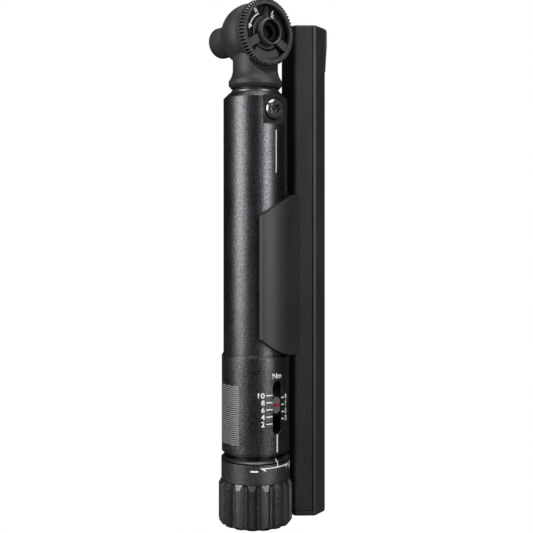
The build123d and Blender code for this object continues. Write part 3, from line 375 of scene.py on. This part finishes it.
# ---- printed marks --------------------------------------------------------------------------
@dataclass
class Marks:
    """Flat marks drawn in millimetres on X and Z, facing -Y, then laid on their surface."""

    proud: float = 0.05        # height of the ink above its surface
    sunk: float = 0.05         # depth below it, so that no gap shows
    weld: float = 1e-4         # corners nearer than this become one
    boldness: float = 0.022    # how far lettering is thickened, as a share of its size
    bm: bmesh.types.BMesh = field(default_factory=bmesh.new)

    def bar(
        self, x: tuple[float, float], z: tuple[float, float], pitch: float = 0.5,
    ) -> list[bmesh.types.BMVert]:
        """Draw a rectangle, cut into columns so that it can bend.

        Args:
            x: Its left and right ends.
            z: Its lower and upper edges.
            pitch: The widest column.

        Returns:
            The new corners.
        """
        columns = max(1, round((x[1] - x[0]) / pitch))
        corners = bmesh.ops.create_grid(self.bm, x_segments=columns, y_segments=1, size=0.5)["verts"]
        size = Vector((x[1] - x[0], z[1] - z[0], 1.0))
        middle = Vector(((x[0] + x[1]) / 2, 0.0, (z[0] + z[1]) / 2))
        bmesh.ops.scale(self.bm, vec=size, verts=corners)
        bmesh.ops.rotate(self.bm, matrix=UP_FROM_FLAT, verts=corners)
        bmesh.ops.translate(self.bm, vec=middle, verts=corners)
        return corners

    def wave(self, x: tuple[float, float], z: float, width: float, rise: float, length: float) -> None:
        """Draw a thin line that rises and falls along its length.

        Args:
            x: Its left and right ends.
            z: Its mean height.
            width: The line's width.
            rise: How far it swings to each side.
            length: The length of one wave.
        """
        for corner in self.bar(x, (z - width / 2, z + width / 2), pitch=length / 10):
            corner.co.z += rise * sin(2 * pi * corner.co.x / length)

    def polygon(self, corners: Iterable[tuple[float, float]]) -> None:
        """Draw a filled outline.

        Args:
            corners: Its (x, z) corners, in order.
        """
        self.bm.faces.new([self.bm.verts.new((x, 0.0, z)) for x, z in corners])

    def arc(self, radius: float, width: float, start: float, end: float) -> None:
        """Draw part of a ring about the origin.

        Args:
            radius: The radius of its middle line.
            width: Its width.
            start: Where it starts, in degrees clockwise from up.
            end: Where it ends.
        """
        ends = [self.bm.verts.new((0.0, 0.0, radius + side * width / 2)) for side in (-1, 1)]
        edge = self.bm.edges.new(ends)
        turn = Matrix.Rotation(radians(start), 3, "Y")
        bmesh.ops.rotate(self.bm, matrix=turn, verts=ends)
        bmesh.ops.spin(
            self.bm, geom=[edge, *ends], axis=(0, 1, 0), cent=(0, 0, 0), angle=radians(end - start),
            steps=max(4, round(abs(end - start) / 3)), use_merge=False, use_duplicate=False,
        )

    def text(
        self, words: str, place: tuple[float, float], height: float, width: float,
        end: TextEnd = TextEnd.MIDDLE, turn: float = 0.0,
    ) -> None:
        """Draw a line of text as a filled outline.

        Args:
            words: The text.
            place: The (x, z) of its end, at half its height.
            height: The height of its capitals or digits.
            width: The width of the whole line.
            end: Which end stands at the place.
            turn: Degrees clockwise that it is turned.
        """
        curve = bpy.data.curves.new("lettering", "FONT")
        curve.body = words
        curve.align_x = TextEnd.MIDDLE.value
        curve.offset = self.boldness
        curve.resolution_u = 3
        holder = bpy.data.objects.new("lettering", curve)
        mesh = bpy.data.meshes.new_from_object(holder)
        before = len(self.bm.verts)
        self.bm.from_mesh(mesh)
        self.bm.verts.ensure_lookup_table()
        corners = self.bm.verts[before:]
        bpy.data.objects.remove(holder)
        bpy.data.curves.remove(curve)
        bpy.data.meshes.remove(mesh)
        low = Vector([min(corner.co[axis] for corner in corners) for axis in range(3)])
        high = Vector([max(corner.co[axis] for corner in corners) for axis in range(3)])
        bmesh.ops.translate(self.bm, vec=-(low + high) / 2, verts=corners)
        stretch = (width / (high.x - low.x), height / (high.y - low.y), 1.0)
        bmesh.ops.scale(self.bm, vec=stretch, verts=corners)
        shift = {TextEnd.LEFT: width / 2, TextEnd.MIDDLE: 0.0, TextEnd.RIGHT: -width / 2}[end]
        bmesh.ops.translate(self.bm, vec=(shift, 0.0, 0.0), verts=corners)
        bmesh.ops.rotate(self.bm, matrix=Matrix.Rotation(-radians(turn), 3, "Z"), verts=corners)
        bmesh.ops.rotate(self.bm, matrix=UP_FROM_FLAT, verts=corners)
        bmesh.ops.translate(self.bm, vec=(place[0], 0.0, place[1]), verts=corners)

    def thicken(self) -> None:
        """Give every mark its thickness, as closed solids."""
        bmesh.ops.remove_doubles(self.bm, verts=self.bm.verts[:], dist=self.weld)
        grown = bmesh.ops.extrude_face_region(self.bm, geom=self.bm.faces[:], use_keep_orig=True)["geom"]
        outer = [item for item in grown if isinstance(item, bmesh.types.BMVert)]
        bmesh.ops.translate(self.bm, vec=(0.0, -self.proud - self.sunk, 0.0), verts=outer)
        bmesh.ops.translate(self.bm, vec=(0.0, self.sunk, 0.0), verts=self.bm.verts[:])
        bmesh.ops.recalc_face_normals(self.bm, faces=self.bm.faces[:])

    def wrapped(self, radius_at: Callable[[float], float]) -> "Marks":
        """Thicken the marks and bend them round the handle's axis.

        Args:
            radius_at: The surface's radius at a height.

        Returns:
            These marks.
        """
        self.thicken()
        for corner in self.bm.verts:
            radius = radius_at(corner.co.z)
            angle = corner.co.x / radius
            out = radius - corner.co.y
            corner.co = (out * sin(angle), -out * cos(angle), corner.co.z)
        return self

    def laid(self, matrix: Matrix) -> "Marks":
        """Thicken the marks and lay them flat.

        Args:
            matrix: Where they go, in millimetres.

        Returns:
            These marks.
        """
        self.thicken()
        bmesh.ops.transform(self.bm, matrix=matrix, verts=self.bm.verts[:])
        return self

    def piece(self, name: str, finish: Finish, body: str) -> bpy.types.Object:
        """Turn the marks into a piece that rides on a body.

        Args:
            name: The piece's name.
            finish: Its finish.
            body: The body that it rides on.

        Returns:
            The new piece.
        """
        bmesh.ops.scale(self.bm, vec=(MM, MM, MM), verts=self.bm.verts[:])
        bmesh.ops.triangulate(self.bm, faces=self.bm.faces[:])
        mesh = bpy.data.meshes.new(name)
        self.bm.to_mesh(mesh)
        self.bm.free()
        mesh.materials.append(finish.build())
        made = bpy.data.objects.new(name, mesh)
        bpy.context.scene.collection.objects.link(made)
        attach(made, body)
        LOG.info("%s on %s: %d faces", name, body, len(mesh.polygons))
        return made


@cache
def box_mm(node: str) -> tuple[Vector, Vector]:
    """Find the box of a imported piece, in millimetres.

    Args:
        node: The piece's name.

    Returns:
        Its lowest and highest corners.
    """
    low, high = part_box(node)
    return (low / MM, high / MM)


def low_mm(node: str) -> Vector:
    """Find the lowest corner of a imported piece's box, in millimetres.

    Args:
        node: The piece's name.

    Returns:
        The corner.
    """
    return box_mm(node)[0]


def high_mm(node: str) -> Vector:
    """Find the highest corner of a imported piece's box, in millimetres.

    Args:
        node: The piece's name.

    Returns:
        The corner.
    """
    return box_mm(node)[1]


# ---- sub-assemblies -------------------------------------------------------------------------
@dataclass
class Handle:
    """Tube, scale sleeve and what they hold, with the torque scale printed on the sleeve."""

    digit_height: float = 2.0
    digit_width: float = 1.3
    digit_pitch: float = 1.25
    tick_width: float = 0.42
    even_tick: tuple[float, float] = (-4.6, -2.1)      # arc length from the middle of the slot
    odd_tick: tuple[float, float] = (2.1, 3.6)
    even_digits_at: float = -5.2
    odd_digits_at: float = 4.35
    step: float = 1.3          # height of one newton metre
    setting: int = 7           # what the indicator shows at rest
    unit_above_slot: float = 1.9
    line_width: float = 0.55
    line_foot: float = 2.1         # the line's lower end, above the sleeve's lower end
    line_gap: float = 0.1          # from its upper end to the window
    unit_width: float = 4.2
    pattern_turn: tuple[float, float] = (-152.0, -67.5)    # degrees round from the slot
    pattern_foot: float = 4.9      # above the sleeve's lower end
    pattern_lines: int = 29
    pattern_pitch: float = 0.755
    pattern_width: float = 0.34
    pattern_rise: float = 0.16
    pattern_wave: float = 3.4
    guide: tuple[float, float] = (14.4, 30.0)  # ends of the tube's line, below its top
    guide_half: float = 0.2
    slot: tuple[float, float] = (8.7, 28.1)    # ends of the window, above the sleeve's lower end

    def dress(self) -> None:
        """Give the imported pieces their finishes."""
        dress(ANODISED, ("handle_tube", "scale_sleeve"))
        dress(NITRILE, ("neck_seal",))
        dress(BOLT_STEEL, ("pivot_bolt",))
        dress(BRONZE, ("end_bearing",))
        dress(SPRING_STEEL, ("main_spring", "knob_detent_springs"))
        dress(TOOL_STEEL, ("plunger", "click_block", "knob_detent_balls"))

    def sleeve_radius(self, _height: float) -> float:
        """Find the sleeve's radius, the same at every height that carries marks.

        Args:
            _height: The height, which makes no difference.

        Returns:
            The radius in millimetres.
        """
        return high_mm("scale_sleeve").x

    def scale_print(self) -> None:
        """Print the numbers, their ticks, the unit and the line below the slot."""
        marks = Marks()
        middle = (low_mm("torque_indicator").z + high_mm("torque_indicator").z) / 2
        half = self.tick_width / 2
        for value in range(2, 11):
            z = middle + (value - self.setting) * self.step
            even = value % 2 == 0
            marks.bar(self.even_tick if even else self.odd_tick, (z - half, z + half))
            digits = str(value)
            width = self.digit_width + self.digit_pitch * (len(digits) - 1)
            if even:
                marks.text(digits, (self.even_digits_at, z), self.digit_height, width, TextEnd.RIGHT)
            else:
                marks.text(digits, (self.odd_digits_at, z), self.digit_height, width, TextEnd.LEFT)
        foot = low_mm("scale_sleeve").z
        slot_low, slot_high = (foot + end for end in self.slot)
        marks.text("Nm", (0.0, slot_high + self.unit_above_slot), self.digit_height, self.unit_width)
        half = self.line_width / 2
        marks.bar((-half, half), (foot + self.line_foot, slot_low - self.line_gap))
        marks.wrapped(self.sleeve_radius).piece("scale_print", WHITE_INK, "handle")

    def grip_pattern(self) -> None:
        """Mark the field of fine waved lines on the side of the sleeve."""
        marks = Marks(proud=0.03)
        radius = self.sleeve_radius(0.0)
        ends = tuple(radians(turn) * radius for turn in self.pattern_turn)
        foot = low_mm("scale_sleeve").z + self.pattern_foot
        for line in range(self.pattern_lines):
            height = foot + line * self.pattern_pitch
            marks.wave(ends, height, self.pattern_width, self.pattern_rise, self.pattern_wave)
        marks.wrapped(self.sleeve_radius).piece("grip_pattern", LASER_MARK, "handle")

    def guide_line(self) -> None:
        """Print the thin line along the front of the tube."""
        marks = Marks()
        top = high_mm("handle_tube").z
        near, far = self.guide
        marks.bar((-self.guide_half, self.guide_half), (top - far, top - near))
        radius = high_mm("handle_tube").x
        marks.wrapped(lambda height: radius).piece("tube_guide_line", WHITE_INK, "handle")

    def build(self) -> None:
        """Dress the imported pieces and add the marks."""
        self.dress()
        self.scale_print()
        self.grip_pattern()
        self.guide_line()


@dataclass
class SettingKnob:
    """Fluted knob with its screw, and the arrow that says which way the setting grows."""

    arrow_half: float = 7.1
    arrow_below_top: float = 2.9
    shaft_inset: float = 0.6       # the shaft ends this far behind each tip
    line_width: float = 0.45
    barb: tuple[float, float] = (2.3, 1.3)     # along the arrow, below it
    barb_foot: float = 1.8
    sign_at: tuple[float, float] = (7.8, 10.6)
    sign_drop: float = 1.0
    sign_width: float = 0.6
    chamfer: tuple[float, float] = (1.4, 1.2)  # the collar's top edge: in, down
    collar_proud: float = 0.17                 # the collar stands this far out of the sleeve
    line_below_top: float = 0.15               # where the line up to the sleeve ends

    def dress(self) -> None:
        """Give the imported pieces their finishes."""
        dress(MACHINED_ANODISED, ("knob",))
        dress(CASE_ABS, ("knob_cap",))
        dress(OXIDE_SCREW, ("knob_screw", "screw_circlip"))
        dress(TOOL_STEEL, ("adjusting_screw", "thrust_washer"))

    def collar_radius(self, height: float) -> float:
        """Find the collar's radius, less on its top chamfer.

        Args:
            height: The height in millimetres.

        Returns:
            The radius in millimetres.
        """
        inward, down = self.chamfer
        straight = high_mm("scale_sleeve").x + self.collar_proud
        over = max(0.0, height - (high_mm("knob").z - down))
        return straight - over * inward / down

    def arrow(self) -> None:
        """Print the two-ended arrow, its line up to the sleeve and the two signs."""
        marks = Marks()
        top = high_mm("knob").z
        z = top - self.arrow_below_top
        half = self.line_width / 2
        chamfer_low = top - self.chamfer[1]
        marks.bar((-half, half), (z, chamfer_low))
        marks.bar((-half, half), (chamfer_low, top - self.line_below_top))
        shaft = self.arrow_half - self.shaft_inset
        marks.bar((-shaft, shaft), (z - half, z + half))
        along, below = self.barb
        sign_low, sign_high = self.sign_at
        sign_z = z - self.sign_drop
        thick = self.sign_width / 2
        for side in Side:
            tip = (side.value * self.arrow_half, z + half)
            marks.polygon([
                tip,
                (side.value * (self.arrow_half - self.barb_foot), z + half),
                (side.value * (self.arrow_half - along), z - below),
            ])
            ends = sorted((side.value * sign_low, side.value * sign_high))
            marks.bar((ends[0], ends[1]), (sign_z - thick, sign_z + thick))
        plus = (sign_low + sign_high) / 2
        reach = (sign_high - sign_low) / 2
        marks.bar((plus - thick, plus + thick), (sign_z + thick, sign_z + reach))
        marks.bar((plus - thick, plus + thick), (sign_z - reach, sign_z - thick))
        marks.wrapped(self.collar_radius).piece("setting_arrow", WHITE_INK, "knob")

    def build(self) -> None:
        """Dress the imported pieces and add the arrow."""
        self.dress()
        self.arrow()


@dataclass
class SpringCarriage:
    """Carriage that the screw drives, with the indicator in the window."""

    line_height: float = 1.0
    line_inset: float = 0.05       # from the indicator's sides

    def build(self) -> None:
        """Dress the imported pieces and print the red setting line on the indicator."""
        dress(TOOL_STEEL, ("spring_carriage",))
        dress(ACETAL, ("torque_indicator",))
        low, high = low_mm("torque_indicator"), high_mm("torque_indicator")
        middle = (low.z + high.z) / 2
        marks = Marks(proud=0.03)
        half = self.line_height / 2
        marks.bar((low.x + self.line_inset, high.x - self.line_inset), (middle - half, middle + half))
        face = Matrix.Translation((0.0, low.y, 0.0))
        marks.laid(face).piece("setting_line", RED_INK, "carriage")


@dataclass
class RatchetHead:
    """Head casting, its pawl, and the plate that shows the two directions."""

    letter_height: float = 1.9
    letter_width: float = 1.5
    letter_at: tuple[float, float] = (8.85, 28.0)      # radius, degrees from up
    arc_radius: float = 7.3
    arc_width: float = 0.45
    arc_span: tuple[float, float] = (23.0, 72.0)
    head_half: float = 0.85
    head_length: float = 1.9

    def dress(self) -> None:
        """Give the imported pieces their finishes."""
        dress(SATIN_HEAD, ("head_housing",))
        dress(OXIDE_PLATE, ("direction_plate",))
        dress(BRONZE, ("pivot_bush",))
        dress(TOOL_STEEL, ("pawl_pin", "pawl_detent_ball", "pawl"))
        dress(SPRING_STEEL, ("pawl_detent_spring",))

    def direction_print(self) -> None:
        """Print a letter and a curved arrow for each direction."""
        marks = Marks(proud=0.04)
        radius, turn = self.letter_at
        start, end = self.arc_span
        for side, letter in ((Side.LEFT, "R"), (Side.RIGHT, "L")):
            angle = side.value * radians(turn)
            place = (radius * sin(angle), radius * cos(angle))
            marks.text(letter, place, self.letter_height, self.letter_width, turn=side.value * turn)
            marks.arc(self.arc_radius, self.arc_width, side.value * start, side.value * end)
            marks.polygon(self.arrow_head(side.value * radians(end), side))
        low, high = low_mm("direction_wheel"), high_mm("direction_wheel")
        plate = low_mm("direction_plate").y
        centre = Matrix.Translation(((low.x + high.x) / 2, plate, (low.z + high.z) / 2))
        marks.laid(centre).piece("direction_print", WHITE_INK, "head")

    def arrow_head(self, angle: float, side: Side) -> list[tuple[float, float]]:
        """Find the corners of an arrow head at the end of its arc.

        Args:
            angle: Where the arc ends, in radians clockwise from up.
            side: Which way the arc runs.

        Returns:
            Three (x, z) corners.
        """
        out = Vector((sin(angle), cos(angle)))
        ahead = Vector((cos(angle), -sin(angle))) * side.value
        foot = out * self.arc_radius
        corners = (foot + out * self.head_half, foot + ahead * self.head_length, foot - out * self.head_half)
        return [(corner.x, corner.y) for corner in corners]

    def build(self) -> None:
        """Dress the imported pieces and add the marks."""
        self.dress()
        self.direction_print()


@dataclass
class DriveTrain:
    """Bit socket and gear that turn, and the wheel that picks the direction."""

    def build(self) -> None:
        """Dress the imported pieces."""
        dress(SATIN_HEAD, ("drive_socket",))
        dress(TOOL_STEEL, ("ratchet_gear",))
        dress(NICKEL, ("bit_magnet",))
        dress(OXIDE_SCREW, ("wheel_screw",))
        dress(WHEEL_NYLON, ("direction_wheel",))


@dataclass
class BitCase:
    """Case that clips to the tube, its hinged cover, and the bits in their tray."""

    bits: tuple[str, ...] = ("hex_2", "hex_2_5", "hex_3", "hex_4", "hex_5", "hex_6", "star")

    def build(self) -> None:
        """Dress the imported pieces."""
        dress(CASE_ABS, ("case_base", "case_cover"))
        dress(TRAY_PP, ("bit_tray",))
        dress(BOLT_STEEL, ("cover_hinge_pin",))
        dress(TOOL_STEEL, (f"bit_{bit}" for bit in self.bits))


# ---- studio ---------------------------------------------------------------------------------
@dataclass(frozen=True)
class Softbox:
    """One soft light, placed round the object as the camera sees it."""

    name: str
    across: float              # degrees to the camera's right
    above: float               # degrees above the object's middle
    distance: float            # metres
    size: tuple[float, float]  # metres, wide and tall
    power: float               # watts


@dataclass
class Studio:
    """Camera, lights, floor and backdrop."""

    turn: float = -40.0                # degrees round from the front
    camera_mm: tuple[float, float, float] = (-220.5, -269.3, 110.2)
    lens: float = 62.5
    sensor: float = 36.0
    shift: float = -0.074
    target_mm: tuple[float, float, float] = (0.0, 0.0, 100.0)
    floor_half: float = 3.0            # metres
    floor_below_mm: float = 0.2        # a hair under the knob's end
    fill: float = 0.03                 # strength of the surroundings for all but the eye
    softboxes: tuple[Softbox, ...] = (
        Softbox("left_softbox", -55.0, 2.0, 0.7, (0.40, 1.0), 8.5),
        Softbox("right_softbox", 44.0, 2.0, 0.7, (0.22, 1.0), 6.4),
        Softbox("top_softbox", 0.0, 86.0, 0.8, (0.5, 0.5), 5.0),
    )

    def camera(self) -> None:
        """Make the level camera."""
        data = bpy.data.cameras.new("camera")
        data.lens = self.lens
        data.sensor_width = self.sensor
        data.shift_y = self.shift
        data.clip_start = 0.01
        data.clip_end = 20.0
        camera = bpy.data.objects.new("camera", data)
        bpy.context.scene.collection.objects.link(camera)
        camera.location = Vector(self.camera_mm) * MM
        ahead = Vector((-sin(radians(self.turn)), cos(radians(self.turn)), 0.0))
        camera.rotation_mode = "QUATERNION"
        camera.rotation_quaternion = ahead.to_track_quat("-Z", "Y")
        bpy.context.scene.camera = camera

    def lights(self) -> None:
        """Make the softboxes."""
        target = Vector(self.target_mm) * MM
        for box in self.softboxes:
            data = bpy.data.lights.new(box.name, "AREA")
            data.shape = "RECTANGLE"
            data.size, data.size_y = box.size
            data.energy = box.power
            light = bpy.data.objects.new(box.name, data)
            bpy.context.scene.collection.objects.link(light)
            angle = radians(self.turn + box.across)
            rise = radians(box.above)
            back = Vector((sin(angle) * cos(rise), -cos(angle) * cos(rise), sin(rise)))
            light.location = target + back * box.distance
            light.rotation_mode = "QUATERNION"
            light.rotation_quaternion = (-back).to_track_quat("-Z", "Y")

    def backdrop(self) -> None:
        """Make the white surroundings, dim to everything but the eye so that black stays black."""
        world = bpy.data.worlds.new("studio")
        bpy.context.scene.world = world
        world.use_nodes = True
        tree = world.node_tree
        tree.nodes.clear()
        seen = add_node(tree, "ShaderNodeLightPath").outputs["Is Camera Ray"]
        strength = spread(tree, seen, (0.0, 1.0), (self.fill, 1.0))
        back = add_node(tree, "ShaderNodeBackground", {"Color": (1, 1, 1, 1), "Strength": strength})
        add_node(tree, "ShaderNodeOutputWorld", {"Surface": back.outputs["Background"]})

    def floor(self) -> None:
        """Make the pale floor that the knob's end stands on."""
        bm = bmesh.new()
        bmesh.ops.create_grid(bm, x_segments=1, y_segments=1, size=self.floor_half)
        bmesh.ops.translate(bm, vec=(0.0, 0.0, -self.floor_below_mm * MM), verts=bm.verts[:])
        mesh = bpy.data.meshes.new("floor")
        bm.to_mesh(mesh)
        bm.free()
        pale = bpy.data.materials.new("pale_floor")
        pale.use_nodes = True
        tree = pale.node_tree
        tree.nodes.clear()
        seen = add_node(tree, "ShaderNodeLightPath").outputs["Is Camera Ray"]
        matte = add_node(tree, "ShaderNodeBsdfDiffuse", {"Color": linear("#5c5c5c")})
        glow = add_node(tree, "ShaderNodeEmission", {"Color": (1, 1, 1, 1), "Strength": 1.0})
        shaders = {0: seen, 1: matte.outputs["BSDF"], 2: glow.outputs["Emission"]}
        both = add_node(tree, "ShaderNodeMixShader", shaders)
        add_node(tree, "ShaderNodeOutputMaterial", {"Surface": both.outputs["Shader"]})
        mesh.materials.append(pale)
        floor = bpy.data.objects.new("floor", mesh)
        bpy.context.scene.collection.objects.link(floor)

    def build(self) -> None:
        """Set up the whole studio."""
        bpy.context.scene.view_settings.view_transform = "Standard"
        self.camera()
        self.lights()
        self.backdrop()
        self.floor()


def main() -> None:
    """Build the studio and every sub-assembly."""
    logging.basicConfig(level=logging.INFO, format="%(name)s: %(message)s")
    assemblies = (Studio(), Handle(), SettingKnob(), SpringCarriage(), RatchetHead(), DriveTrain(), BitCase())
    for assembly in assemblies:
        assembly.build()
        LOG.info("%s is done", type(assembly).__name__)


if __name__ == "__main__":
    main()
